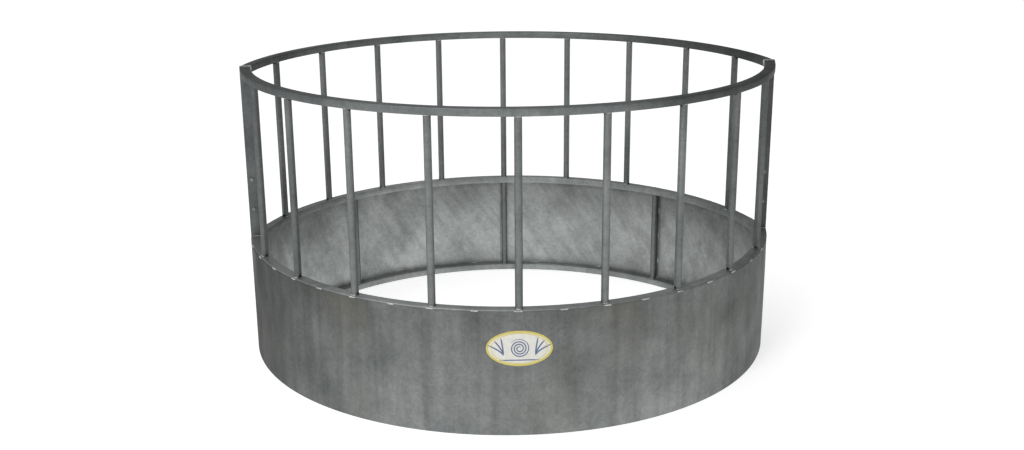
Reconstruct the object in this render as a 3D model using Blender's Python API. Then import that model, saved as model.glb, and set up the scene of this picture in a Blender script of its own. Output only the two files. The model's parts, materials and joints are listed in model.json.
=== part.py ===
"""Round bale feeder: a galvanised steel ring in two bolted halves, with a sheet skirt and upright bars.

Metres, +Z up. The origin is on the ground at the middle of the ring. The two halves are the same
shape, turned half a turn from each other: the back half lies at +Y and the front half at -Y. They
are bolted post to post at -X (left) and +X (right). Each half hoop is rolled a little short of a
half circle, so the ring comes to a blunt corner at each pair of posts.
"""

import math

import bmesh
import bpy
from mathutils import Matrix, Vector

# Overall sizes.
RING_WIDTH = 2.110  # over the outer faces of the end posts
ROLLED_ARC = math.radians(162.9)  # how far round the skirt of one half goes
HEIGHT = 1.158  # ground to the top of the top rail
SKIRT_HEIGHT = 0.465  # ground to the top of the middle rail
HEAD_SPACES = 10  # gaps along one half, from post to post
BAR_SPACING = 0.3015  # between bars, along the middle of the rails

# Rails: rectangular tube laid flat and rolled.
RAIL_WIDTH = 0.040
RAIL_DEPTH = 0.027
RAIL_WALL = 0.002
RAIL_CORNER = 0.0025

# Skirt sheet, outside the middle and bottom rails.
SHEET_THICKNESS = 0.002
SHEET_DROP = 0.004  # top edge of the sheet below the top of the middle rail

# Upright bars and the stiffeners inside the skirt: round tube (three-quarter inch pipe).
BAR_DIAMETER = 0.0269
BAR_WALL = 0.0023
VENT_DIAMETER = 0.009
VENT_INSET = 0.003  # centre of a vent notch from the end of its bar

# End posts: flat bar, full height, standing across the rails' ends.
POST_WIDTH = 0.040  # along X
POST_DEPTH = 0.008  # along Y
POST_CORNER = 0.001

# Bolts through each pair of posts, with their nuts and washers (M8).
TOP_BOLT_RISE = 0.237  # above the middle rail
MIDDLE_BOLT_RISE = 0.114  # above the middle rail
BOLT_DIAMETER = 0.008
BOLT_HEAD = 0.0053
BOLT_TAIL = 0.004  # thread that shows past the nut
HEX_ACROSS_FLATS = 0.013
NUT_THICKNESS = 0.0065
WASHER_DIAMETER = 0.016
WASHER_THICKNESS = 0.0016
HOLE_CLEARANCE = 0.0005  # round the bolt in posts and washers
THREAD_CLEARANCE = 0.0004  # round the bolt in its nut

# Oval label on the front of the skirt.
LABEL_WIDTH = 0.230
LABEL_HEIGHT = 0.130
LABEL_THICKNESS = 0.0005
LABEL_DROP = 0.138  # its middle below the top of the middle rail

# Gaps between touching pieces.
GAP = 0.0003
POST_GAP = 0.0006  # between the faces of the two posts at a joint

# Facets.
ARC_STEPS = 40  # along one half hoop
ROUND_STEPS = 16
BAR_STEPS = 24  # round a bar
LABEL_STEPS = 12  # across half of the label

# Worked out from the sizes above.
END_FACE_Y = POST_GAP / 2 + POST_DEPTH + GAP  # where rails and sheet stop at a post
HALF_ARC = ROLLED_ARC / 2
SHEET_RADIUS = RING_WIDTH / 2 / math.sin(HALF_ARC)
ARC_CENTRE_Y = END_FACE_Y - SHEET_RADIUS * math.cos(HALF_ARC)
RAIL_RADIUS = SHEET_RADIUS - SHEET_THICKNESS - GAP  # outer face of the rails
BAR_RADIUS = RAIL_RADIUS - RAIL_WIDTH / 2  # middle of the rails
BAR_PITCH = BAR_SPACING / BAR_RADIUS  # angle between bars
STEP_ANGLE = HALF_ARC / (ARC_STEPS / 2)
FACET_SHRINK = math.cos(STEP_ANGLE / 2)  # a facet's middle stands this much nearer the centre
BOLT_HEIGHTS = {
    "top": SKIRT_HEIGHT + TOP_BOLT_RISE,
    "middle": SKIRT_HEIGHT + MIDDLE_BOLT_RISE,
    "bottom": SKIRT_HEIGHT / 2,
}

GALVANISED = (0.40, 0.41, 0.42)
FINISHES = {
    "rail": (GALVANISED, 0.45, 0.9),
    "sheet": ((0.36, 0.37, 0.38), 0.50, 0.9),
    "bar": (GALVANISED, 0.42, 0.9),
    "post": (GALVANISED, 0.45, 0.9),
    "fastener": ((0.55, 0.55, 0.54), 0.35, 1.0),
    "label": ((0.80, 0.78, 0.55), 0.45, 0.0),
}


def clear_scene():
    for obj in list(bpy.data.objects):
        bpy.data.objects.remove(obj)


def make_material(name):
    colour, roughness, metallic = FINISHES[name]
    material = bpy.data.materials.new(name)
    material.use_nodes = True
    shader = material.node_tree.nodes["Principled BSDF"]
    shader.inputs["Base Color"].default_value = (*colour, 1.0)
    shader.inputs["Roughness"].default_value = roughness
    shader.inputs["Metallic"].default_value = metallic
    return material


def mesh_from(bm, name, material):
    """Closes off a bmesh as a mesh with its faces out and its round parts smooth."""
    bmesh.ops.recalc_face_normals(bm, faces=bm.faces)
    mesh = bpy.data.meshes.new(name)
    bm.to_mesh(mesh)
    bm.free()
    mesh.materials.append(material)
    mesh.shade_smooth()
    mesh.set_sharp_from_angle(angle=math.radians(30))
    return mesh


def place(name, mesh, location=(0.0, 0.0, 0.0), turn=0.0, parent=None):
    """Adds a named object, turned about its own vertical axis."""
    obj = bpy.data.objects.new(name, mesh)
    obj.location = location
    obj.rotation_euler.z = turn
    obj.parent = parent
    bpy.context.scene.collection.objects.link(obj)
    return obj


def cut(mesh, cutters):
    """Takes the cutter bodies out of a mesh with Boolean modifiers, and returns the new mesh."""
    obj = place("blank", mesh)
    tools = [place("cutter", cutter) for cutter in cutters]
    for tool in tools:
        tool.hide_render = True
        tool.display_type = "WIRE"
        modifier = obj.modifiers.new("cut", "BOOLEAN")
        modifier.operation = "DIFFERENCE"
        modifier.solver = "EXACT"
        modifier.object = tool
    result = bpy.data.meshes.new_from_object(
        obj.evaluated_get(bpy.context.evaluated_depsgraph_get())
    )
    result.name = mesh.name
    for item in [obj, *tools]:
        bpy.data.objects.remove(item)
    return result


def prism(sides, across, length, middle, axis="Z"):
    """A bmesh prism centred on a point; across is its size over flats or its diameter."""
    turns = {
        "X": Matrix.Rotation(math.pi / 2, 4, "Y"),
        "Y": Matrix.Rotation(math.pi / 2, 4, "X"),
        "Z": Matrix.Identity(4),
    }
    radius = across / 2 / math.cos(math.pi / sides)
    bm = bmesh.new()
    bmesh.ops.create_cone(
        bm,
        cap_ends=True,
        segments=sides,
        radius1=radius,
        radius2=radius,
        depth=length,
        matrix=Matrix.Translation(middle) @ turns[axis],
    )
    return bm


def rectangle(width, depth):
    """Four corners, anticlockwise from the lower left."""
    u, v = width / 2, depth / 2
    return [(-u, -v), (u, -v), (u, v), (-u, v)]


def chamfered(width, depth, corner):
    """Eight corners, two for each one of the plain rectangle and in the same order."""
    u, v = width / 2, depth / 2
    return [
        (-u, -v + corner),
        (-u + corner, -v),
        (u - corner, -v),
        (u, -v + corner),
        (u, v - corner),
        (u - corner, v),
        (-u + corner, v),
        (-u, v - corner),
    ]


def join_rings(bm, first, second):
    """Quads between two rings of vertices with the same number of points."""
    count = len(first)
    for i in range(count):
        j = (i + 1) % count
        bm.faces.new((first[i], first[j], second[j], second[i]))


def close_wall(bm, outer, inner):
    """The cut end of a tube: an outer ring of eight points round an inner ring of four."""
    for i in range(4):
        here, beside, onward = outer[2 * i], outer[2 * i + 1], outer[(2 * i + 2) % 8]
        bm.faces.new((here, beside, inner[i]))
        bm.faces.new((beside, onward, inner[(i + 1) % 4], inner[i]))


def tube_bmesh(outer_rings, inner_rings):
    """A hollow bar skinned through rings of points, open at both ends."""
    bm = bmesh.new()
    outer = [[bm.verts.new(point) for point in ring] for ring in outer_rings]
    inner = [[bm.verts.new(point) for point in ring] for ring in inner_rings]
    for rings in (outer, inner):
        for first, second in zip(rings, rings[1:]):
            join_rings(bm, first, second)
    close_wall(bm, outer[0], inner[0])
    close_wall(bm, outer[-1], inner[-1])
    return bm


def solid_bmesh(rings):
    """A solid bar skinned through rings of points."""
    bm = bmesh.new()
    rows = [[bm.verts.new(point) for point in ring] for ring in rings]
    for first, second in zip(rows, rows[1:]):
        join_rings(bm, first, second)
    bm.faces.new(rows[0])
    bm.faces.new(rows[-1])
    return bm


def round_tube(diameter, wall, length):
    """An upright round tube that stands on the origin."""
    bm = bmesh.new()

    def ring(radius, z):
        turns = [2 * math.pi * i / BAR_STEPS for i in range(BAR_STEPS)]
        return [bm.verts.new((radius * math.cos(t), radius * math.sin(t), z)) for t in turns]

    bore = diameter / 2 - wall
    loops = [ring(diameter / 2, 0.0), ring(diameter / 2, length), ring(bore, length), ring(bore, 0.0)]
    for first, second in zip(loops, loops[1:] + loops[:1]):
        join_rings(bm, first, second)
    return bm


def half_point(radius, angle, z):
    """A point of the back half; the angle runs from its middle towards +X."""
    return Vector(
        (radius * math.sin(angle), ARC_CENTRE_Y + radius * math.cos(angle), z)
    )


def arc_angles(radius):
    """The stations of an arc: even steps, and both ends on the posts' faces."""
    end = math.acos((END_FACE_Y - ARC_CENTRE_Y) / radius)
    half_count = ARC_STEPS // 2
    between = [i * STEP_ANGLE for i in range(1 - half_count, half_count)]
    return [-end, *between, end]


def arc_rings(profile, middle_radius):
    """Rings for a section of (radius offset, height) points carried round the half."""
    columns = [
        [half_point(middle_radius + u, angle, v) for angle in arc_angles(middle_radius + u)]
        for u, v in profile
    ]
    return [list(ring) for ring in zip(*columns)]


def rail_mesh(material):
    outer = chamfered(RAIL_WIDTH, RAIL_DEPTH, RAIL_CORNER)
    inner = rectangle(RAIL_WIDTH - 2 * RAIL_WALL, RAIL_DEPTH - 2 * RAIL_WALL)
    bm = tube_bmesh(arc_rings(outer, BAR_RADIUS), arc_rings(inner, BAR_RADIUS))
    return mesh_from(bm, "rail", material)


def sheet_mesh(material):
    height = SKIRT_HEIGHT - SHEET_DROP
    section = [(u, v + height / 2) for u, v in rectangle(SHEET_THICKNESS, height)]
    rings = arc_rings(section, SHEET_RADIUS - SHEET_THICKNESS / 2)
    return mesh_from(solid_bmesh(rings), "skirt_sheet", material)


def upright_mesh(material):
    """Round tube from the middle rail to the top rail, with a vent notch across each end."""
    length = HEIGHT - RAIL_DEPTH - SKIRT_HEIGHT - 2 * GAP
    blank = mesh_from(round_tube(BAR_DIAMETER, BAR_WALL, length), "upright", material)
    vents = []
    for z in (VENT_INSET, length - VENT_INSET):
        vent = prism(ROUND_STEPS, VENT_DIAMETER, 2 * BAR_DIAMETER, (0.0, 0.0, z), "X")
        vents.append(mesh_from(vent, "vent", material))
    return cut(blank, vents)


def stiffener_mesh(material):
    length = SKIRT_HEIGHT - 2 * RAIL_DEPTH - 2 * GAP
    return mesh_from(round_tube(BAR_DIAMETER, BAR_WALL, length), "skirt_stiffener", material)


def post_mesh(material):
    """End post: a flat bar with its bolt holes."""
    profile = chamfered(POST_WIDTH, POST_DEPTH, POST_CORNER)
    blank = solid_bmesh([[(u, v, z) for u, v in profile] for z in (0.0, HEIGHT)])
    hole = BOLT_DIAMETER + 2 * HOLE_CLEARANCE
    cutters = [
        mesh_from(prism(ROUND_STEPS, hole, 2 * POST_DEPTH, (0.0, 0.0, z), "Y"), "hole", material)
        for z in BOLT_HEIGHTS.values()
    ]
    return cut(mesh_from(blank, "post", material), cutters)


def add_half(name, turn, meshes):
    """One half ring under an empty. Sides and numbers run from -X to +X of the whole ring."""
    half = place(f"{name}_half", None, turn=turn)
    towards_right = 1 if turn == 0.0 else -1
    place(f"{name}_bottom_rail", meshes["rail"], (0, 0, RAIL_DEPTH / 2), parent=half)
    place(f"{name}_mid_rail", meshes["rail"], (0, 0, SKIRT_HEIGHT - RAIL_DEPTH / 2), parent=half)
    place(f"{name}_top_rail", meshes["rail"], (0, 0, HEIGHT - RAIL_DEPTH / 2), parent=half)
    place(f"{name}_skirt_sheet", meshes["sheet"], parent=half)

    post_x = RING_WIDTH / 2 - POST_WIDTH / 2
    post_y = POST_GAP / 2 + POST_DEPTH / 2
    for side, sign in (("left", -1), ("right", 1)):
        x = sign * towards_right * post_x
        place(f"{name}_{side}_post", meshes["post"], (x, post_y, 0), parent=half)

    for number in range(1, HEAD_SPACES):
        angle = towards_right * (number - HEAD_SPACES / 2) * BAR_PITCH
        foot = half_point(BAR_RADIUS, angle, SKIRT_HEIGHT + GAP)
        place(f"{name}_upright_{number}", meshes["upright"], foot, -angle, half)

    sheet_inside = (SHEET_RADIUS - SHEET_THICKNESS) * FACET_SHRINK
    stiffener_radius = sheet_inside - 2 * GAP - BAR_DIAMETER / 2
    for side, pitches in (("left", -HEAD_SPACES / 4), ("centre", 0.0), ("right", HEAD_SPACES / 4)):
        angle = towards_right * pitches * BAR_PITCH
        foot = half_point(stiffener_radius, angle, RAIL_DEPTH + GAP)
        place(f"{name}_stiffener_{side}", meshes["stiffener"], foot, -angle, half)


def bolt_mesh(material):
    """Hexagon bolt along +Y, with the seat of its head at the origin."""
    grip = 2 * (POST_DEPTH + GAP) + POST_GAP + WASHER_THICKNESS + NUT_THICKNESS + 2 * GAP
    length = grip + BOLT_TAIL
    buried = BOLT_HEAD / 2
    head = prism(6, HEX_ACROSS_FLATS, BOLT_HEAD, (0.0, -BOLT_HEAD / 2, 0.0), "Y")
    middle = (length - buried) / 2
    shank = prism(ROUND_STEPS, BOLT_DIAMETER, length + buried, (0.0, middle, 0.0), "Y")
    obj = place("bolt", mesh_from(head, "bolt", material))
    tool = place("shank", mesh_from(shank, "shank", material))
    modifier = obj.modifiers.new("join", "BOOLEAN")
    modifier.operation = "UNION"
    modifier.solver = "EXACT"
    modifier.object = tool
    mesh = bpy.data.meshes.new_from_object(
        obj.evaluated_get(bpy.context.evaluated_depsgraph_get())
    )
    bpy.data.objects.remove(obj)
    bpy.data.objects.remove(tool)
    return mesh


def bored_mesh(name, sides, across, thickness, bore, material):
    """A nut or washer along +Y, with its near face at the origin."""
    middle = (0.0, thickness / 2, 0.0)
    blank = mesh_from(prism(sides, across, thickness, middle, "Y"), name, material)
    drill = mesh_from(prism(ROUND_STEPS, bore, 3 * thickness, middle, "Y"), "bore", material)
    return cut(blank, [drill])


def add_fasteners(material):
    bolt = bolt_mesh(material)
    washer_bore = BOLT_DIAMETER + 2 * HOLE_CLEARANCE
    washer = bored_mesh(
        "washer", ROUND_STEPS, WASHER_DIAMETER, WASHER_THICKNESS, washer_bore, material
    )
    nut_bore = BOLT_DIAMETER + 2 * THREAD_CLEARANCE
    nut = bored_mesh("nut", 6, HEX_ACROSS_FLATS, NUT_THICKNESS, nut_bore, material)
    seat = POST_GAP / 2 + POST_DEPTH + GAP
    nut_y = seat + WASHER_THICKNESS + GAP
    for side, sign in (("left", -1), ("right", 1)):
        x = sign * (RING_WIDTH / 2 - POST_WIDTH / 2)
        for level, z in BOLT_HEIGHTS.items():
            place(f"{side}_bolt_{level}", bolt, (x, -seat, z))
            place(f"{side}_washer_{level}", washer, (x, seat, z))
            place(f"{side}_nut_{level}", nut, (x, nut_y, z))


def facet_radius(radius, angle):
    """Distance from the arc's centre to its facets at an angle."""
    nearest = round(angle / STEP_ANGLE - 0.5) + 0.5
    return radius * FACET_SHRINK / math.cos(angle - nearest * STEP_ANGLE)


def label_mesh(material):
    """Oval shell that follows the facets of the skirt sheet."""
    reach = LABEL_WIDTH / 2 / SHEET_RADIUS
    angles = [
        reach * math.sin(i / LABEL_STEPS * math.pi / 2)
        for i in range(1 - LABEL_STEPS, LABEL_STEPS)
    ]
    inside = SHEET_RADIUS + GAP
    rings = []
    for angle in angles:
        half_height = LABEL_HEIGHT / 2 * math.sqrt(1 - (angle / reach) ** 2)
        corners = [
            (inside, -half_height),
            (inside + LABEL_THICKNESS, -half_height),
            (inside + LABEL_THICKNESS, half_height),
            (inside, half_height),
        ]
        rings.append(
            [
                half_point(facet_radius(radius, angle), angle, SKIRT_HEIGHT - LABEL_DROP + z)
                for radius, z in corners
            ]
        )
    return mesh_from(solid_bmesh(rings), "label", material)


def main():
    clear_scene()
    materials = {name: make_material(name) for name in FINISHES}
    meshes = {
        "rail": rail_mesh(materials["rail"]),
        "sheet": sheet_mesh(materials["sheet"]),
        "upright": upright_mesh(materials["bar"]),
        "stiffener": stiffener_mesh(materials["bar"]),
        "post": post_mesh(materials["post"]),
    }
    add_half("back", 0.0, meshes)
    add_half("front", math.pi, meshes)
    add_fasteners(materials["fastener"])
    place("oval_label", label_mesh(materials["label"]), turn=math.pi)


main()
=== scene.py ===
"""Looks of the round bale feeder: galvanised tube and sheet, welds, bolts and an oval label."""

import json
import math
import random

import bmesh
import bpy
from mathutils import Matrix, Vector, noise

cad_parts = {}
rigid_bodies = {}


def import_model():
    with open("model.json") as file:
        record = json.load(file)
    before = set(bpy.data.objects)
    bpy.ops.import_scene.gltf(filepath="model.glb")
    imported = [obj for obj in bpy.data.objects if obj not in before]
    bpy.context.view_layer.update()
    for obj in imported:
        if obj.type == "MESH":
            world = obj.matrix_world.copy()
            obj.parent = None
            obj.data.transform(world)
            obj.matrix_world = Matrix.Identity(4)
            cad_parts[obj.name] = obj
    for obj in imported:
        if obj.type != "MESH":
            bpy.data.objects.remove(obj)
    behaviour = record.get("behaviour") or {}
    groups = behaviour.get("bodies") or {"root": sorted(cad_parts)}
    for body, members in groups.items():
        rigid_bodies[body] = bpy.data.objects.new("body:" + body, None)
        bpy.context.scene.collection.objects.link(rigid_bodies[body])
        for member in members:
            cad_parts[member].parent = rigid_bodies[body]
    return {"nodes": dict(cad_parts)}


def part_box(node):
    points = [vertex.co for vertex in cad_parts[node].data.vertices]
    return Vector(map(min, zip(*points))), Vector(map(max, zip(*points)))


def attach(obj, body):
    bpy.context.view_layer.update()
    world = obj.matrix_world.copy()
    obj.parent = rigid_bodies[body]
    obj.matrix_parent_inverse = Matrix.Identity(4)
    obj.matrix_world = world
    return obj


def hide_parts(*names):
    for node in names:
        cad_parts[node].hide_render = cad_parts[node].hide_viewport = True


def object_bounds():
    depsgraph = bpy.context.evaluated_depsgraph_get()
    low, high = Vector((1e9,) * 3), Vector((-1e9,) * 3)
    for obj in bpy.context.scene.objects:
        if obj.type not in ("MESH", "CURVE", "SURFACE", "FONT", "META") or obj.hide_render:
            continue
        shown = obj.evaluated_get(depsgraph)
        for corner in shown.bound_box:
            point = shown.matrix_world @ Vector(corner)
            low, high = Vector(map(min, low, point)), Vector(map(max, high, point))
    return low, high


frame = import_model()
cad_low, cad_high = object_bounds()

HALVES = {"back": 1, "front": -1}
LEVELS = ("bottom", "mid", "top")
SIDES = {"left": -1, "right": 1}

# Sizes that only the looks need.
TUBE_CORNER = 0.0024  # outside corner of the tube
TUBE_WALL = 0.002
CORNER_STEPS = 3
ARC_STEPS = 150
SHEET_ROWS = 26
BULGE = 0.0016  # how far the thin sheet bows out between its rails
BULGE_FADE = 0.07
VENT_DIAMETER = 0.011
VENT_INSET = 0.004
VENT_GAP = math.radians(38)  # how far a fillet stops short of a vent notch, each side
BAR_WALL = 0.0023
BAR_STEPS = 32
BEAD = 0.0028  # radius of a weld bead
STITCH = 0.030  # length of a stitch weld
SEAM_ANGLE = -0.017  # where the seam stands, from the middle of its half
RIPPLE = 0.0032  # pitch of the ripples on a bead
ROUND_STEPS = 24
CHAMFER_ANGLE = math.radians(30)
POST_CORNER = 0.001
BOLT_HOLE = 0.009
SHANK_RADIUS = 0.004
NUT_BORE = 0.0088
THREAD_PITCH = 0.00125
THREAD_DEPTH = 0.0006
LABEL_BASE = (0.0003, 0.0008)  # bottom and top of the label's vinyl above the sheet
LABEL_PRINT = (0.0008, 0.0010)  # and of the print on it
SPIRAL_TURNS = 3.4

# Light: one large soft lamp in front of the ring, above it and to its left.
KEY_PLACE = (-2.6, -5.0, 4.4)
KEY_AIM = (0, 0, 0.6)
KEY_SIZE = 2.2
KEY_POWER = 130
SKY_STRENGTH = 0.80
FLOOR_GLOW = 0.62

# Camera: in front of the ring, above it and slightly to its left.
CAMERA_PLACE = (-0.1512, -4.7752, 1.9340)
CAMERA_PITCH = 0.2934  # radians down from level
CAMERA_SWING = 0.0333  # radians to the right of +Y
CAMERA_ROLL = -0.0066
CAMERA_LENS = 42.81

random.seed(7)


# ---------------------------------------------------------------- sizes from the frame

def centre(node):
    low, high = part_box(node)
    return (low + high) / 2


sheet_low, sheet_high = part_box("back_skirt_sheet")
END_FACE_Y = sheet_low.y  # where the rails and the sheet stop at a post
half_chord = sheet_high.x
rise = sheet_high.y - END_FACE_Y
SHEET_RADIUS = (half_chord**2 + rise**2) / (2 * rise)
ARC_CENTRE_Y = sheet_high.y - SHEET_RADIUS
RAIL_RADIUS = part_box("back_top_rail")[1].y - ARC_CENTRE_Y
post_low, post_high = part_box("back_right_post")
POST_SIZE = post_high - post_low
BAR_RADIUS = centre("back_upright_5").y - ARC_CENTRE_Y  # the bars stand on the rails' middle
RAIL_WIDTH = 2 * (RAIL_RADIUS - BAR_RADIUS)
RAIL_HEIGHTS = {
    level: (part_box(f"back_{level}_rail")[0].z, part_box(f"back_{level}_rail")[1].z)
    for level in LEVELS
}
RAIL_DEPTH = RAIL_HEIGHTS["top"][1] - RAIL_HEIGHTS["top"][0]
SKIRT_TOP = RAIL_HEIGHTS["mid"][1]
SHEET_TOP = sheet_high.z
SHEET_THICKNESS = SHEET_RADIUS - RAIL_RADIUS
bar_low, bar_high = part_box("back_upright_5")
BAR_SIZE = bar_high.x - bar_low.x
UPRIGHTS = [name for name in frame["nodes"] if "_upright_" in name]
STIFFENERS = [name for name in frame["nodes"] if "_stiffener_" in name]
HEAD_SPACES = len(UPRIGHTS) // 2 + 1
JOINT_ANGLE = math.acos(-ARC_CENTRE_Y / BAR_RADIUS)


def side_of(node):
    return HALVES[node.split("_")[0]]


def angle_of(node):
    """Where a piece stands on its half's arc, from the middle of the half."""
    middle = centre(node) * side_of(node)
    return math.atan2(middle.x, middle.y - ARC_CENTRE_Y)


def half_point(side, radius, angle, z):
    """A point of one half: side is 1 for the back half and -1 for the front half."""
    x = radius * math.sin(angle)
    y = ARC_CENTRE_Y + radius * math.cos(angle)
    return Vector((side * x, side * y, z))


PITCH = angle_of("back_upright_6") - angle_of("back_upright_5")


def smooth_step(value, start, end):
    share = min(max((value - start) / (end - start), 0.0), 1.0)
    return share * share * (3 - 2 * share)


def bulge(side, angle, z):
    """How far the sheet bows out here: nothing along its rails and posts."""
    up = smooth_step(z, RAIL_DEPTH, RAIL_DEPTH + BULGE_FADE)
    down = 1 - smooth_step(z, SKIRT_TOP - RAIL_DEPTH - BULGE_FADE, SKIRT_TOP - RAIL_DEPTH)
    ends = 1 - smooth_step(abs(angle), JOINT_ANGLE * 0.9, JOINT_ANGLE * 0.97)
    wave = noise.noise(Vector((angle * 4.5, z * 5.0, 3.7 * side)))
    fine = noise.noise(Vector((angle * 11.0, z * 9.0, 9.1 * side)))
    return BULGE * up * down * ends * (0.55 + 0.6 * wave + 0.25 * fine)


# ---------------------------------------------------------------- materials

def set_input(shader, name, value):
    shader.inputs[name].default_value = value


def new_material(name):
    material = bpy.data.materials.new(name)
    material.use_nodes = True
    return material, material.node_tree, material.node_tree.nodes["Principled BSDF"]


def add_node(tree, kind, **settings):
    node = tree.nodes.new(kind)
    for key, value in settings.items():
        if key in node.inputs:
            node.inputs[key].default_value = value
        else:
            setattr(node, key, value)
    return node


def ramp(tree, source, stops):
    """A colour ramp on a 0 to 1 value. stops are (position, grey or colour)."""
    node = tree.nodes.new("ShaderNodeValToRGB")
    elements = node.color_ramp.elements
    while len(elements) < len(stops):
        elements.new(0.5)
    for element, (position, colour) in zip(elements, stops):
        element.position = position
        element.color = (*colour, 1.0) if isinstance(colour, tuple) else (colour,) * 3 + (1.0,)
    tree.links.new(source, node.inputs[0])
    return node.outputs[0]


def mix(tree, factor, first, second, blend="MIX"):
    """Mixes two colours; each of factor, first and second is a socket or a value."""
    node = tree.nodes.new("ShaderNodeMix")
    node.data_type = "RGBA"
    node.blend_type = blend
    for index, value in ((0, factor), (6, first), (7, second)):
        if isinstance(value, bpy.types.NodeSocket):
            tree.links.new(value, node.inputs[index])
        else:
            node.inputs[index].default_value = value
    return node.outputs[2]


def noise_field(tree, coords, stretch, scale, detail=4.0, roughness=0.55, turn=(0, 0, 0)):
    """Noise on coordinates turned and stretched along X, Y and Z."""
    mapping = add_node(tree, "ShaderNodeMapping", vector_type="TEXTURE")
    mapping.inputs["Rotation"].default_value = turn
    mapping.inputs["Scale"].default_value = [1 / value for value in stretch]
    tree.links.new(coords, mapping.inputs["Vector"])
    field = add_node(tree, "ShaderNodeTexNoise", Scale=scale, Detail=detail, Roughness=roughness)
    tree.links.new(mapping.outputs[0], field.inputs["Vector"])
    return field.outputs["Fac"]


def shade_and_tone_drift(tree, coords, tone, axis, low, high, stops):
    """Lets a tone change slowly along an axis, from low to high: painted light and shade, with some of
    the zinc's own tone.
    """
    split = tree.nodes.new("ShaderNodeSeparateXYZ")
    tree.links.new(coords, split.inputs[0])
    share = tree.nodes.new("ShaderNodeMapRange")
    share.inputs["From Min"].default_value = low
    share.inputs["From Max"].default_value = high
    tree.links.new(split.outputs[axis], share.inputs["Value"])
    return mix(tree, 1.0, tone, ramp(tree, share.outputs[0], stops), "MULTIPLY")


def galvanised(
    name, dark, light, streak=0.35, slant=0.0, stain=0.0, metallic=0.72, bump=0.25, shade_and_tone_drifts=()
):
    """Weathered hot-dip zinc: cloudy greys, runs, a faint spangle and fine pitting, with painted light
    and shade from its drifts laid over them.
    """
    material, tree, shader = new_material(name)
    coords = tree.nodes.new("ShaderNodeTexCoord").outputs["Object"]

    clouds = noise_field(tree, coords, (1, 1, 1), 5.0, detail=6.0, roughness=0.62)
    tone = ramp(tree, clouds, [(0.30, (*dark,)), (0.72, (*light,))])

    runs = noise_field(tree, coords, (16, 16, 1.1), 1.6, detail=5.0, turn=(0, slant, 0))
    run_tone = ramp(tree, runs, [(0.36, 0.72), (0.50, 1.0), (0.66, 1.22)])
    tone = mix(tree, streak, tone, run_tone, "MULTIPLY")

    spangle = add_node(tree, "ShaderNodeTexVoronoi", Scale=95.0)
    tree.links.new(coords, spangle.inputs["Vector"])
    grey = tree.nodes.new("ShaderNodeSeparateColor")
    tree.links.new(spangle.outputs["Color"], grey.inputs[0])
    flake = ramp(tree, grey.outputs[0], [(0.0, 0.86), (1.0, 1.16)])
    tone = mix(tree, 0.55, tone, flake, "MULTIPLY")

    grain = noise_field(tree, coords, (1, 1, 1), 260.0, detail=3.0, roughness=0.7)
    speck = ramp(tree, grain, [(0.28, 0.80), (0.55, 1.0), (0.80, 1.25)])
    tone = mix(tree, 0.55, tone, speck, "MULTIPLY")

    if stain:
        patches = noise_field(tree, coords, (1, 1, 0.7), 2.3, detail=5.0)
        mask = ramp(tree, patches, [(0.52, 0.0), (0.74, stain)])
        tone = mix(tree, mask, tone, (0.17, 0.155, 0.105, 1.0))
    # Painted light and shade: slow changes of tone across the ring and up from the ground, mixed with
    # the zinc's own tone.
    for change in shade_and_tone_drifts:
        tone = shade_and_tone_drift(tree, coords, tone, *change)
    tree.links.new(tone, shader.inputs["Base Color"])

    sheen = noise_field(tree, coords, (1, 1, 0.5), 9.0, detail=5.0)
    rough = ramp(tree, sheen, [(0.30, 0.40), (0.70, 0.62)])
    tree.links.new(rough, shader.inputs["Roughness"])
    set_input(shader, "Metallic", metallic)
    set_input(shader, "Specular IOR Level", 0.30)
    set_input(shader, "Specular Tint", (0.50, 0.51, 0.51, 1.0))

    heights = mix(tree, 0.45, grain, clouds)
    relief = add_node(tree, "ShaderNodeBump", Strength=bump, Distance=0.0012)
    tree.links.new(heights, relief.inputs["Height"])
    tree.links.new(relief.outputs[0], shader.inputs["Normal"])
    return material


def weld_material():
    """Weld metal under zinc: bright crests and darker hollows."""
    material, tree, shader = new_material("zinc_weld")
    coords = tree.nodes.new("ShaderNodeTexCoord").outputs["Object"]
    lumps = noise_field(tree, coords, (1, 1, 1), 90.0, detail=4.0)
    tone = ramp(tree, lumps, [(0.30, (0.30, 0.305, 0.305)), (0.62, (0.70, 0.71, 0.71))])
    tree.links.new(tone, shader.inputs["Base Color"])
    set_input(shader, "Metallic", 0.75)
    rough = ramp(tree, lumps, [(0.30, 0.34), (0.70, 0.52)])
    tree.links.new(rough, shader.inputs["Roughness"])
    relief = add_node(tree, "ShaderNodeBump", Strength=0.4, Distance=0.0008)
    tree.links.new(lumps, relief.inputs["Height"])
    tree.links.new(relief.outputs[0], shader.inputs["Normal"])
    return material


def printed(name, colour, faded):
    """Printed vinyl: an even colour that has faded and scuffed a little."""
    material, tree, shader = new_material(name)
    coords = tree.nodes.new("ShaderNodeTexCoord").outputs["Object"]
    wear = noise_field(tree, coords, (1, 1, 1), 60.0, detail=6.0, roughness=0.7)
    tone = ramp(tree, wear, [(0.35, (*colour,)), (0.75, (*faded,))])
    tree.links.new(tone, shader.inputs["Base Color"])
    rough = ramp(tree, wear, [(0.30, 0.32), (0.75, 0.50)])
    tree.links.new(rough, shader.inputs["Roughness"])
    relief = add_node(tree, "ShaderNodeBump", Strength=0.08, Distance=0.0004)
    tree.links.new(wear, relief.inputs["Height"])
    tree.links.new(relief.outputs[0], shader.inputs["Normal"])
    return material


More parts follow.
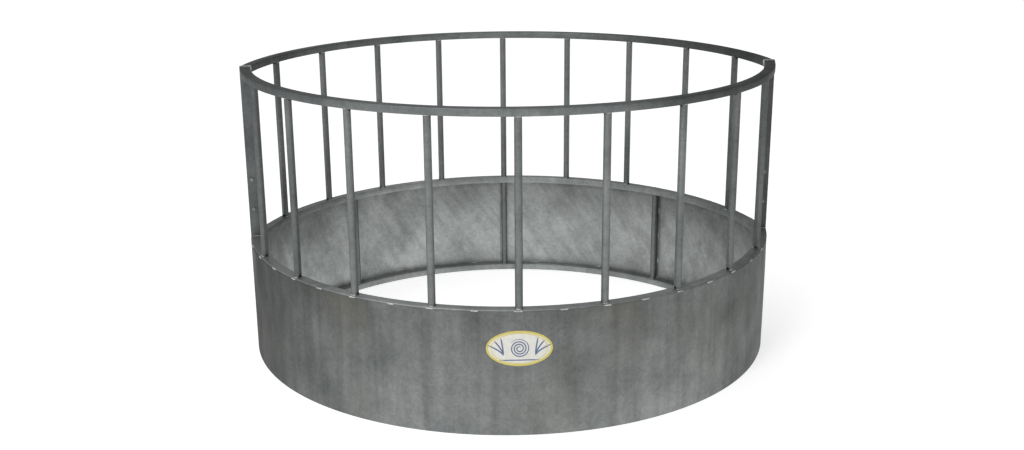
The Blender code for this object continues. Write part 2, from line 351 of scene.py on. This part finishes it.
# Tone factors across the ring and up from the ground, as (share, factor). They stand for light and
# shade as well as for the zinc itself, and they show from every side.
LEFT, RIGHT = cad_low.x, cad_high.x
RAIL_ACROSS = [
    (0.0, 0.50),
    (0.08, 0.60),
    (0.24, 0.92),
    (0.45, 1.05),
    (0.66, 0.85),
    (0.82, 0.45),
    (1.0, 0.35),
]
BAR_ACROSS = [(0.0, 0.62), (0.14, 0.85), (0.30, 1.0), (0.75, 1.0), (0.90, 0.75), (1.0, 0.60)]
POST_ACROSS = [(0.0, 0.62), (1.0, 0.45)]
OUTSIDE_ACROSS = [
    (0.0, 0.22),
    (0.05, 0.42),
    (0.12, 0.68),
    (0.28, 1.0),
    (0.60, 1.05),
    (0.80, 1.25),
    (0.92, 1.00),
    (1.0, 0.75),
]
OUTSIDE_UPWARDS = [(0.0, 1.20), (0.45, 1.0), (0.78, 0.86), (1.0, 0.74)]
INSIDE_ACROSS = [
    (0.0, 0.86),
    (0.20, 0.97),
    (0.42, 1.02),
    (0.52, 1.0),
    (0.60, 0.90),
    (0.85, 0.76),
    (1.0, 0.68),
]
INSIDE_UPWARDS = [(0.0, 1.12), (0.45, 1.12), (0.72, 0.92), (1.0, 0.66)]
HOOP_ACROSS = [(0.0, 0.62), (0.15, 0.85), (0.30, 1.0), (0.60, 0.92), (0.80, 0.78), (1.0, 0.62)]
MATERIALS = {
    # The mid and bottom rails take a lighter copy of the top rail's zinc: painted light on the same
    # tube.
    "hoop": galvanised(
        "zinc_hoop_painted_light",
        (0.270, 0.285, 0.282),
        (0.430, 0.450, 0.443),
        0.25,
        shade_and_tone_drifts=[("X", LEFT, RIGHT, HOOP_ACROSS)],
    ),
    "rail": galvanised(
        "zinc_rail",
        (0.145, 0.156, 0.156),
        (0.245, 0.260, 0.256),
        0.25,
        shade_and_tone_drifts=[("X", LEFT, RIGHT, RAIL_ACROSS)],
    ),
    "bar": galvanised(
        "zinc_bar",
        (0.145, 0.156, 0.155),
        (0.245, 0.260, 0.254),
        0.40,
        shade_and_tone_drifts=[("X", LEFT, RIGHT, BAR_ACROSS)],
    ),
    "post": galvanised(
        "zinc_post",
        (0.135, 0.145, 0.147),
        (0.225, 0.238, 0.238),
        0.40,
        shade_and_tone_drifts=[("X", LEFT, RIGHT, POST_ACROSS)],
    ),
    "outside": galvanised(
        "zinc_sheet_outside",
        (0.140, 0.148, 0.148),
        (0.245, 0.255, 0.250),
        0.45,
        stain=0.45,
        shade_and_tone_drifts=[
            ("X", LEFT, RIGHT, OUTSIDE_ACROSS),
            ("Z", 0.0, SHEET_TOP, OUTSIDE_UPWARDS),
        ],
    ),
    # The inner face of the sheet takes a much lighter copy of the outer face's zinc: painted light on
    # the inner face.
    "inside": galvanised(
        "zinc_sheet_inside_painted_light",
        (0.290, 0.305, 0.302),
        (0.520, 0.540, 0.532),
        0.50,
        slant=-0.60,
        shade_and_tone_drifts=[("X", LEFT, RIGHT, INSIDE_ACROSS), ("Z", 0.0, SHEET_TOP, INSIDE_UPWARDS)],
    ),
    "bolt": galvanised("zinc_bolt", (0.15, 0.15, 0.145), (0.27, 0.27, 0.26), 0.20, metallic=0.8),
    "weld": weld_material(),
    "cream": printed("label_cream", (0.74, 0.73, 0.66), (0.62, 0.62, 0.58)),
    "straw": printed("label_straw", (0.66, 0.55, 0.10), (0.56, 0.48, 0.16)),
    "slate": printed("label_slate", (0.085, 0.13, 0.26), (0.13, 0.17, 0.28)),
}


# ---------------------------------------------------------------- mesh helpers

def finish_mesh(bm, name, materials, sharp=35.0):
    bmesh.ops.recalc_face_normals(bm, faces=bm.faces)
    mesh = bpy.data.meshes.new(name)
    bm.to_mesh(mesh)
    bm.free()
    for key in materials:
        mesh.materials.append(MATERIALS[key])
    mesh.shade_smooth()
    mesh.set_sharp_from_angle(angle=math.radians(sharp))
    return mesh


def add_piece(name, mesh, nodes=()):
    """Adds a visible piece that rides on the feeder and stands for the CAD nodes given."""
    piece = bpy.data.objects.new(name, mesh)
    bpy.context.scene.collection.objects.link(piece)
    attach(piece, "root")
    if nodes:
        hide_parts(*nodes)
    return piece


def skin(bm, rings, closed=False, caps=True):
    """Quads through rings of points. Returns the faces, ring by ring."""
    rows = [[bm.verts.new(point) for point in ring] for ring in rings]
    count = len(rows[0])
    pairs = list(zip(rows, rows[1:]))
    if closed:
        pairs.append((rows[-1], rows[0]))
    faces = []
    for first, second in pairs:
        for i in range(count):
            j = (i + 1) % count
            faces.append(bm.faces.new((first[i], first[j], second[j], second[i])))
    if caps and not closed:
        faces.append(bm.faces.new(rows[0]))
        faces.append(bm.faces.new(rows[-1]))
    return faces


def rounded_profile(width, depth, corner):
    """A rectangle with round corners, anticlockwise about its middle."""
    points = []
    for quarter in range(4):
        sign_u = (1, -1, -1, 1)[quarter]
        sign_v = (1, 1, -1, -1)[quarter]
        for step in range(CORNER_STEPS + 1):
            angle = math.radians(90) * (quarter + step / CORNER_STEPS)
            points.append(
                (
                    sign_u * (width / 2 - corner) + corner * math.cos(angle),
                    sign_v * (depth / 2 - corner) + corner * math.sin(angle),
                )
            )
    return points


def tube(bm, outer, inner):
    """A hollow bar through outer and inner rings of the same count, open at both ends."""
    rows = [[[bm.verts.new(p) for p in ring] for ring in rings] for rings in (outer, inner)]
    count = len(rows[0][0])
    pairs = [pair for skin_rows in rows for pair in zip(skin_rows, skin_rows[1:])]
    pairs += [(rows[0][0], rows[1][0]), (rows[0][-1], rows[1][-1])]
    for first, second in pairs:
        for i in range(count):
            j = (i + 1) % count
            bm.faces.new((first[i], first[j], second[j], second[i]))


def round_tube(diameter, wall, length):
    """A round tube that stands on the origin."""
    bm = bmesh.new()

    def ring(radius, z):
        turns = [2 * math.pi * i / BAR_STEPS for i in range(BAR_STEPS)]
        return [(radius * math.cos(t), radius * math.sin(t), z) for t in turns]

    outer, inner = diameter / 2, diameter / 2 - wall
    tube(bm, [ring(outer, 0.0), ring(outer, length)], [ring(inner, 0.0), ring(inner, length)])
    return bm


def prism(sides, across, length, middle, axis):
    """A prism along X or Y; across is its size over flats."""
    turn = {"X": Matrix.Rotation(math.pi / 2, 4, "Y"), "Y": Matrix.Rotation(math.pi / 2, 4, "X")}
    radius = across / 2 / math.cos(math.pi / sides)
    bm = bmesh.new()
    bmesh.ops.create_cone(
        bm,
        cap_ends=True,
        segments=sides,
        radius1=radius,
        radius2=radius,
        depth=length,
        matrix=Matrix.Translation(middle) @ turn[axis],
    )
    return bm


def combine(mesh, tools, operation):
    """Works tool meshes into a mesh with exact Booleans, and returns the new mesh."""
    scene = bpy.context.scene.collection.objects
    body = bpy.data.objects.new("body", mesh)
    scene.link(body)
    helpers = []
    for tool in tools:
        helper = bpy.data.objects.new("helper", tool)
        scene.link(helper)
        helpers.append(helper)
        modifier = body.modifiers.new("combine", "BOOLEAN")
        modifier.operation = operation
        modifier.solver = "EXACT"
        modifier.object = helper
    graph = bpy.context.evaluated_depsgraph_get()
    result = bpy.data.meshes.new_from_object(body.evaluated_get(graph))
    result.name = mesh.name
    for item in [body, *helpers]:
        bpy.data.objects.remove(item)
    result.shade_smooth()
    result.set_sharp_from_angle(angle=math.radians(35))
    return result


def arc_stations(radius):
    """Angles along a half hoop, with both ends on the posts' faces."""
    end = math.acos((END_FACE_Y - ARC_CENTRE_Y) / radius)
    return [end * (2 * i / ARC_STEPS - 1) for i in range(ARC_STEPS + 1)]


def carry(side, profile, middle_radius):
    """Rings for a section of (radius offset, height) points carried round a half."""
    columns = [
        [half_point(side, middle_radius + u, a, v) for a in arc_stations(middle_radius + u)]
        for u, v in profile
    ]
    return [list(ring) for ring in zip(*columns)]


# ---------------------------------------------------------------- rails, bars and posts

def build_rails():
    for half, side in HALVES.items():
        for level, (low, high) in RAIL_HEIGHTS.items():
            outer = rounded_profile(RAIL_WIDTH, RAIL_DEPTH, TUBE_CORNER)
            wall = 2 * TUBE_WALL
            inner = rounded_profile(RAIL_WIDTH - wall, RAIL_DEPTH - wall, TUBE_CORNER - TUBE_WALL)
            middle = (low + high) / 2
            rings = [
                carry(side, [(u, v + middle) for u, v in profile], BAR_RADIUS)
                for profile in (outer, inner)
            ]
            bm = bmesh.new()
            tube(bm, *rings)
            name = f"{half}_{level}_rail"
            # The mid and bottom rails take the lighter hoop zinc, which paints light onto them.
            finish = "rail" if level == "top" else "hoop"
            mesh = finish_mesh(bm, f"{name}_tube", [finish])
            add_piece(f"{name}_tube", mesh, [name])


def build_bars():
    """Uprights, with a vent notch across each end, and the stiffeners inside the skirt."""
    length = bar_high.z - bar_low.z
    blank = finish_mesh(round_tube(BAR_SIZE, BAR_WALL, length), "upright", ["bar"])
    vents = [
        finish_mesh(prism(16, VENT_DIAMETER, 2 * BAR_SIZE, (0, 0, z), "X"), "vent", ["bar"])
        for z in (VENT_INSET, length - VENT_INSET)
    ]
    upright = combine(blank, vents, "DIFFERENCE")
    low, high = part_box(STIFFENERS[0])
    stiffener = finish_mesh(round_tube(BAR_SIZE, BAR_WALL, high.z - low.z), "stiffener", ["bar"])
    for names, pattern in ((UPRIGHTS, upright), (STIFFENERS, stiffener)):
        for name in names:
            place = centre(name)
            turn = -angle_of(name) + (0 if side_of(name) > 0 else math.pi)
            matrix = Matrix.Translation((place.x, place.y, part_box(name)[0].z))
            mesh = pattern.copy()
            mesh.transform(matrix @ Matrix.Rotation(turn, 4, "Z"))
            add_piece(f"{name}_tube", mesh, [name])


def build_posts():
    """End posts: flat bar, with holes for the bolts."""
    heights = [centre(f"left_bolt_{level}").z for level in ("top", "middle", "bottom")]
    profile = rounded_profile(POST_SIZE.x, POST_SIZE.y, POST_CORNER)
    bm = bmesh.new()
    skin(bm, [[(u, v, z) for u, v in profile] for z in (0.0, POST_SIZE.z)])
    holes = [
        finish_mesh(prism(16, BOLT_HOLE, 2 * POST_SIZE.y, (0, 0, z), "Y"), "hole", ["post"])
        for z in heights
    ]
    pattern = combine(finish_mesh(bm, "post", ["post"]), holes, "DIFFERENCE")
    for half in HALVES:
        for where in SIDES:
            name = f"{half}_{where}_post"
            place = centre(name)
            mesh = pattern.copy()
            mesh.transform(Matrix.Translation((place.x, place.y, post_low.z)))
            add_piece(f"{name}_flat", mesh, [name])


# ---------------------------------------------------------------- skirt sheet

def sheet_ring(side, radius, angle, rows):
    outer = [half_point(side, radius + bulge(side, angle, z), angle, z) for z in rows]
    inside = radius - SHEET_THICKNESS * 0.87
    inner = [half_point(side, inside + bulge(side, angle, z), angle, z) for z in rows]
    return outer + inner[::-1]


def build_skirts():
    rows = [SHEET_TOP * i / SHEET_ROWS for i in range(SHEET_ROWS + 1)]
    for half, side in HALVES.items():
        bm = bmesh.new()
        rings = [sheet_ring(side, SHEET_RADIUS, a, rows) for a in arc_stations(SHEET_RADIUS)]
        skin(bm, rings)
        mesh = finish_mesh(bm, f"{half}_skirt", ["outside", "inside"])
        # Faces looking inwards take the lighter inside zinc, which paints light onto the inner face of
        # the sheet.
        for polygon in mesh.polygons:
            middle = polygon.center * side
            outwards = Vector((middle.x, middle.y - ARC_CENTRE_Y, 0.0))
            facing = (polygon.normal * side).dot(outwards)
            polygon.material_index = 1 if facing < 0 else 0
        add_piece(f"{half}_skirt", mesh, [f"{half}_skirt_sheet"])


# ---------------------------------------------------------------- welds

def bead(bm, path, radius, closed=False):
    """A weld bead: a rippled rope of metal along a path, with tapering ends."""
    count = len(path)
    rings = []
    travelled = 0.0
    phase = random.uniform(0, 6.28)
    for i, point in enumerate(path):
        before = path[(i - 1) % count] if closed or i else path[i]
        after = path[(i + 1) % count] if closed or i < count - 1 else path[i]
        along = (after - before).normalized()
        if i:
            travelled += (point - path[i - 1]).length
        across = along.cross(Vector((0, 0, 1)))
        if across.length < 0.2:
            across = along.cross(Vector((1, 0, 0)))
        across.normalize()
        up = across.cross(along)
        swell = 1 + 0.13 * math.sin(travelled / RIPPLE * 2 * math.pi + phase)
        swell += random.uniform(-0.06, 0.06)
        if not closed:
            ends = min(i, count - 1 - i) / (count - 1)
            swell *= 0.35 + 0.65 * min(1.0, ends * 7)
        size = radius * swell
        rings.append(
            [
                point + (across * math.cos(t) + up * math.sin(t)) * size
                for t in (math.pi / 4 * k for k in range(8))
            ]
        )
    skin(bm, rings, closed=closed)


def arc_path(side, radius, angle, length, z, points=14):
    reach = length / radius / 2
    steps = [angle + reach * (2 * i / (points - 1) - 1) for i in range(points)]
    return [half_point(side, radius, step, z) for step in steps]


def loop_path(matrix, width, depth, points=15):
    """Points round a rectangle in a matrix's XY plane, evenly along each side."""
    corners = [(-1, -1), (1, -1), (1, 1), (-1, 1)]
    path = []
    for i in range(4):
        (u0, v0), (u1, v1) = corners[i], corners[(i + 1) % 4]
        for step in range(points):
            share = step / points
            u = (u0 + (u1 - u0) * share) * width / 2
            v = (v0 + (v1 - v0) * share) * depth / 2
            path.append(matrix @ Vector((u, v, 0.0)))
    return path


def circle_path(place, z, radius, start, sweep, points=29):
    """Points round a bar at height z, from a start angle through a sweep."""
    turns = [start + sweep * i / (points - 1) for i in range(points)]
    return [Vector((place.x + radius * math.cos(t), place.y + radius * math.sin(t), z)) for t in turns]


def build_bar_welds():
    """Fillets round both ends of every upright and stiffener, between the vent notches."""
    for half, side in HALVES.items():
        for kind, names in (("upright", UPRIGHTS), ("stiffener", STIFFENERS)):
            bm = bmesh.new()
            for name in names:
                if side_of(name) != side:
                    continue
                low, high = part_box(name)
                place = centre(name)
                turn = -angle_of(name) + (0 if side > 0 else math.pi)
                for z in (low.z, high.z):
                    for half_turn in (0, math.pi):
                        start = turn + half_turn + VENT_GAP
                        sweep = math.pi - 2 * VENT_GAP
                        path = circle_path(place, z, BAR_SIZE / 2 + BEAD * 0.1, start, sweep)
                        bead(bm, path, BEAD * 0.8)
            mesh = finish_mesh(bm, f"{half}_{kind}_welds", ["weld"], 60)
            add_piece(f"{half}_{kind}_welds", mesh)


def build_rail_welds():
    """Where each rail meets its two posts."""
    for half, side in HALVES.items():
        bm = bmesh.new()
        for low, high in RAIL_HEIGHTS.values():
            for sign in SIDES.values():
                end = math.acos((END_FACE_Y - ARC_CENTRE_Y) / BAR_RADIUS)
                place = half_point(side, BAR_RADIUS, sign * end, (low + high) / 2)
                matrix = Matrix.Translation(place) @ Matrix.Rotation(math.pi / 2, 4, "X")
                path = loop_path(matrix, RAIL_WIDTH - BEAD, RAIL_DEPTH - BEAD)
                bead(bm, path, BEAD * 0.95, closed=True)
        mesh = finish_mesh(bm, f"{half}_rail_welds", ["weld"], 60)
        add_piece(f"{half}_rail_welds", mesh)


def build_stitches():
    """Stitch welds: the sheet to its rails, to the posts and to the stiffeners."""
    for half, side in HALVES.items():
        bm = bmesh.new()
        for step in range(1 - HEAD_SPACES, HEAD_SPACES):
            angle = step * PITCH / 2 + random.uniform(-0.006, 0.006)
            length = STITCH * random.uniform(0.7, 1.2)
            radius = RAIL_RADIUS + BEAD * 0.35
            bead(bm, arc_path(side, radius, angle, length, SHEET_TOP + BEAD * 0.2), BEAD * 0.9)
            if step % 2 == 0:
                path = arc_path(side, RAIL_RADIUS - 0.0005, angle + PITCH / 2, STITCH, RAIL_DEPTH)
                bead(bm, path, BEAD * 0.8)
        for sign in SIDES.values():
            for z in (0.08, 0.16, 0.24, 0.32, 0.40):
                end = math.acos((END_FACE_Y - ARC_CENTRE_Y) / SHEET_RADIUS)
                low, high = z - STITCH / 2, z + STITCH / 2
                place = half_point(side, SHEET_RADIUS - 0.001, sign * end, 0)
                path = [place + Vector((0, 0, low + (high - low) * i / 12)) for i in range(13)]
                bead(bm, path, BEAD * 0.8)
        for name in STIFFENERS:
            if side_of(name) != side:
                continue
            angle = angle_of(name)
            shift = (BAR_SIZE / 2 + BEAD * 0.3) / RAIL_RADIUS
            for edge in (-shift, shift):
                for z in (0.10, 0.22, 0.34):
                    path = [
                        half_point(side, RAIL_RADIUS - 0.0006, angle + edge, z + STITCH * i / 12)
                        for i in range(13)
                    ]
                    bead(bm, path, BEAD * 0.8)
        mesh = finish_mesh(bm, f"{half}_stitch_welds", ["weld"], 60)
        add_piece(f"{half}_stitch_welds", mesh)


def build_seams():
    """The upright butt weld, ground nearly flush, that joins the two plates of a skirt."""
    for half, side in HALVES.items():
        bm = bmesh.new()
        path = []
        for i in range(90):
            z = 0.004 + (SHEET_TOP - 0.008) * i / 89
            radius = SHEET_RADIUS + bulge(side, SEAM_ANGLE, z) - BEAD * 0.42
            path.append(half_point(side, radius, SEAM_ANGLE, z))
        bead(bm, path, BEAD * 0.5)
        mesh = finish_mesh(bm, f"{half}_seam", ["outside"], 60)
        add_piece(f"{half}_skirt_seam", mesh)


# ---------------------------------------------------------------- bolts

def turned(profile, steps=ROUND_STEPS):
    """A solid of revolution about Y from (radius, y) points, the first and last on the axis."""
    bm = bmesh.new()
    rings = []
    for radius, y in profile[1:-1]:
        turns = [2 * math.pi * k / steps for k in range(steps)]
        ring = [bm.verts.new((radius * math.cos(t), y, radius * math.sin(t))) for t in turns]
        rings.append(ring)
    for first, second in zip(rings, rings[1:]):
        for i in range(steps):
            j = (i + 1) % steps
            bm.faces.new((first[i], first[j], second[j], second[i]))
    for (_, y), ring in ((profile[0], rings[0]), (profile[-1], rings[-1])):
        tip = bm.verts.new((0.0, y, 0.0))
        for i in range(steps):
            bm.faces.new((tip, ring[i], ring[(i + 1) % steps]))
    return bm


def hexagon(across, thickness, start):
    """A hexagon blank along +Y from start, with its corners turned off at both faces."""
    end = start + thickness
    corner = across / math.sqrt(3)
    drop = (corner - across / 2) * math.tan(CHAMFER_ANGLE)
    blank = finish_mesh(prism(6, across, thickness, (0, (start + end) / 2, 0), "Y"), "hex", ["bolt"])
    cone = [
        (0, start - 0.001),
        (across / 2 * 0.96, start - 0.001),
        (across / 2 * 0.96, start),
        (corner * 1.02, start + drop),
        (corner * 1.02, end - drop),
        (across / 2 * 0.96, end),
        (across / 2 * 0.96, end + 0.001),
        (0, end + 0.001),
    ]
    trim = finish_mesh(turned(cone, 36), "trim", ["bolt"])
    return combine(blank, [trim], "INTERSECT")


def threaded_shank(radius, start, end, thread_from):
    """A shank whose far part carries thread ridges."""
    profile = [(0, start), (radius, start), (radius, thread_from)]
    y = thread_from
    while y + THREAD_PITCH < end - 0.001:
        profile += [(radius - THREAD_DEPTH, y + THREAD_PITCH * 0.5), (radius, y + THREAD_PITCH)]
        y += THREAD_PITCH
    profile += [(radius - 0.001, end), (0, end)]
    return finish_mesh(turned(profile), "shank", ["bolt"], 20)


def build_bolts():
    low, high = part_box("left_bolt_top")
    nut_low, nut_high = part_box("left_nut_top")
    washer_low, washer_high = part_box("left_washer_top")
    across = nut_high.x - nut_low.x
    thickness = nut_high.y - nut_low.y
    seat = -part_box("left_washer_top")[0].y
    head = hexagon(across, seat - low.y, low.y)
    shank = threaded_shank(SHANK_RADIUS, seat - 0.002, high.y, nut_low.y - 0.002)
    bolt = combine(head, [shank], "UNION")
    bore = finish_mesh(prism(ROUND_STEPS, NUT_BORE, 0.03, (0, nut_low.y, 0), "Y"), "bore", ["bolt"])
    nut = combine(hexagon(across, thickness, nut_low.y), [bore], "DIFFERENCE")
    ring = washer_high.x - washer_low.x
    disc = prism(36, ring, washer_high.y - washer_low.y, (0, (washer_low + washer_high).y / 2, 0), "Y")
    washer = combine(finish_mesh(disc, "washer", ["bolt"]), [bore.copy()], "DIFFERENCE")
    for where in SIDES:
        for level in ("top", "middle", "bottom"):
            for kind, pattern in (("bolt", bolt), ("nut", nut), ("washer", washer)):
                name = f"{where}_{kind}_{level}"
                place = centre(name)
                mesh = pattern.copy()
                spin = random.uniform(0, 1.0)
                turn = Matrix.Rotation(spin, 4, "Y")
                mesh.transform(Matrix.Translation((place.x, 0, place.z)) @ turn)
                add_piece(f"{name}_finished", mesh, [name])


# ---------------------------------------------------------------- label

def on_skirt(u, v, lift):
    """A point on the front skirt, u across from its middle, v up from the label's middle."""
    label = centre("oval_label")
    z = label.z + v
    angle = -u / SHEET_RADIUS
    return half_point(-1, SHEET_RADIUS + bulge(-1, angle, z) + lift, angle, z)


def band(left, right, base, top):
    """Rings for a thin printed band between two rows of (u, v) points."""
    rings = []
    for (u0, v0), (u1, v1) in zip(left, right):
        corners = [(u0, v0, base), (u1, v1, base), (u1, v1, top), (u0, v0, top)]
        rings.append([on_skirt(*corner) for corner in corners])
    return rings


def oval_rows(width, height, steps=64):
    """Lower and upper edge of an oval, from one tip to the other."""
    angles = [math.pi * (i + 0.5) / steps for i in range(steps)]
    lower = [(-width / 2 * math.cos(t), -height / 2 * math.sin(t)) for t in angles]
    upper = [(u, -v) for u, v in lower]
    return lower, upper


def stroke(path, width):
    """Left and right edges of a pen stroke along a path of (u, v) points."""
    left, right = [], []
    count = len(path)
    for i, (u, v) in enumerate(path):
        before, after = path[max(i - 1, 0)], path[min(i + 1, count - 1)]
        along = Vector((after[0] - before[0], after[1] - before[1])).normalized()
        taper = width / 2 * min(1.0, 0.25 + 5 * min(i, count - 1 - i) / count)
        left.append((u - along.y * taper, v + along.x * taper))
        right.append((u + along.y * taper, v - along.x * taper))
    return left, right


def build_label():
    low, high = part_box("oval_label")
    width, height = high.x - low.x + 0.002, high.z - low.z
    bm = bmesh.new()
    skin(bm, band(*oval_rows(width, height), *LABEL_BASE))
    mesh = finish_mesh(bm, "label_base", ["cream"])
    add_piece("label_base", mesh, ["oval_label"])

    bm = bmesh.new()
    turns = [2 * math.pi * i / 120 for i in range(120)]
    for scale, thick in ((1.0, 0.07), (0.86, 0.02)):
        outer = [(width / 2 * scale * math.cos(t), height / 2 * scale * math.sin(t)) for t in turns]
        inner_w, inner_h = width / 2 * (scale - thick), height / 2 * (scale - thick * 1.7)
        inner = [(inner_w * math.cos(t), inner_h * math.sin(t)) for t in turns]
        skin(bm, band(outer, inner, *LABEL_PRINT), closed=True)
    mesh = finish_mesh(bm, "label_rim", ["straw"])
    add_piece("label_rim", mesh)

    bm = bmesh.new()
    size = height * 0.27
    spiral = []
    for i in range(150):
        share = i / 149
        t = share * SPIRAL_TURNS * 2 * math.pi
        reach = size * (0.12 + 0.88 * share)
        spiral.append((reach * math.cos(t), reach * math.sin(t)))
    skin(bm, band(*stroke(spiral, 0.0042), *LABEL_PRINT))
    for sign in (-1, 1):
        for lean, tall in ((0.15, 0.50), (0.55, 0.42), (0.95, 0.30)):
            root = (sign * width * 0.24, -height * 0.20)
            blade = []
            for i in range(24):
                share = i / 23
                blade.append(
                    (
                        root[0] + sign * lean * height * 0.45 * share**1.6,
                        root[1] + tall * height * share,
                    )
                )
            skin(bm, band(*stroke(blade, 0.0050), *LABEL_PRINT))
    ground = [(width * 0.30 * (2 * i / 40 - 1), -height * 0.33) for i in range(41)]
    skin(bm, band(*stroke(ground, 0.0040), *LABEL_PRINT))
    mesh = finish_mesh(bm, "label_picture", ["slate"])
    add_piece("label_picture", mesh)


# ---------------------------------------------------------------- stage

def build_floor():
    bm = bmesh.new()
    bmesh.ops.create_grid(bm, x_segments=1, y_segments=1, size=60.0)
    mesh = bpy.data.meshes.new("floor")
    bm.to_mesh(mesh)
    bm.free()
    material, _, shader = new_material("floor")
    set_input(shader, "Base Color", (0.80, 0.80, 0.80, 1.0))
    set_input(shader, "Emission Color", (1.0, 1.0, 1.0, 1.0))
    set_input(shader, "Emission Strength", FLOOR_GLOW)
    set_input(shader, "Roughness", 0.9)
    set_input(shader, "Specular IOR Level", 0.1)
    mesh.materials.append(material)
    floor = bpy.data.objects.new("floor", mesh)
    floor.location.z = -0.0005
    bpy.context.scene.collection.objects.link(floor)


def build_world():
    """An overcast sky: bright above and to the left, dim towards the right horizon."""
    world = bpy.data.worlds.new("studio")
    world.use_nodes = True
    tree = world.node_tree
    background = tree.nodes["Background"]
    coords = tree.nodes.new("ShaderNodeTexCoord").outputs["Generated"]
    split = tree.nodes.new("ShaderNodeSeparateXYZ")
    tree.links.new(coords, split.inputs[0])
    lean = add_node(tree, "ShaderNodeMapRange")
    lean.inputs["From Min"].default_value = -1.0
    tree.links.new(split.outputs["X"], lean.inputs["Value"])
    across = ramp(tree, lean.outputs[0], [(0.10, 1.0), (0.55, 0.75), (0.85, 0.30)])
    upwards = ramp(tree, split.outputs["Z"], [(0.0, 0.55), (0.45, 0.90), (1.0, 1.0)])
    shade = mix(tree, 1.0, across, upwards, "MULTIPLY")
    tree.links.new(shade, background.inputs["Color"])
    background.inputs["Strength"].default_value = SKY_STRENGTH
    bpy.context.scene.world = world


def add_area(name, location, aim, size, power):
    light = bpy.data.lights.new(name, "AREA")
    light.shape = "DISK"
    light.size = size
    light.energy = power
    lamp = bpy.data.objects.new(name, light)
    lamp.location = location
    lamp.rotation_euler = (Vector(aim) - Vector(location)).to_track_quat("-Z", "Y").to_euler()
    bpy.context.scene.collection.objects.link(lamp)


def build_camera():
    swing = Matrix.Rotation(-CAMERA_SWING, 3, "Z")
    ahead = Vector((0, math.cos(CAMERA_PITCH), -math.sin(CAMERA_PITCH)))
    right = Vector((1, 0, 0))
    up = right.cross(ahead)
    rolled_right = right * math.cos(CAMERA_ROLL) + up * math.sin(CAMERA_ROLL)
    rolled_up = up * math.cos(CAMERA_ROLL) - right * math.sin(CAMERA_ROLL)
    columns = [swing @ axis for axis in (rolled_right, rolled_up, -ahead)]
    data = bpy.data.cameras.new("camera")
    data.lens = CAMERA_LENS
    data.sensor_width = 36.0
    camera = bpy.data.objects.new("camera", data)
    camera.matrix_world = Matrix.Translation(CAMERA_PLACE) @ Matrix(columns).transposed().to_4x4()
    bpy.context.scene.collection.objects.link(camera)
    bpy.context.scene.camera = camera


build_rails()
build_bars()
build_posts()
build_skirts()
build_bar_welds()
build_rail_welds()
build_stitches()
build_seams()
build_bolts()
build_label()
build_floor()
build_world()
add_area("key", KEY_PLACE, KEY_AIM, KEY_SIZE, KEY_POWER)
build_camera()
bpy.context.scene.view_settings.view_transform = "Standard"
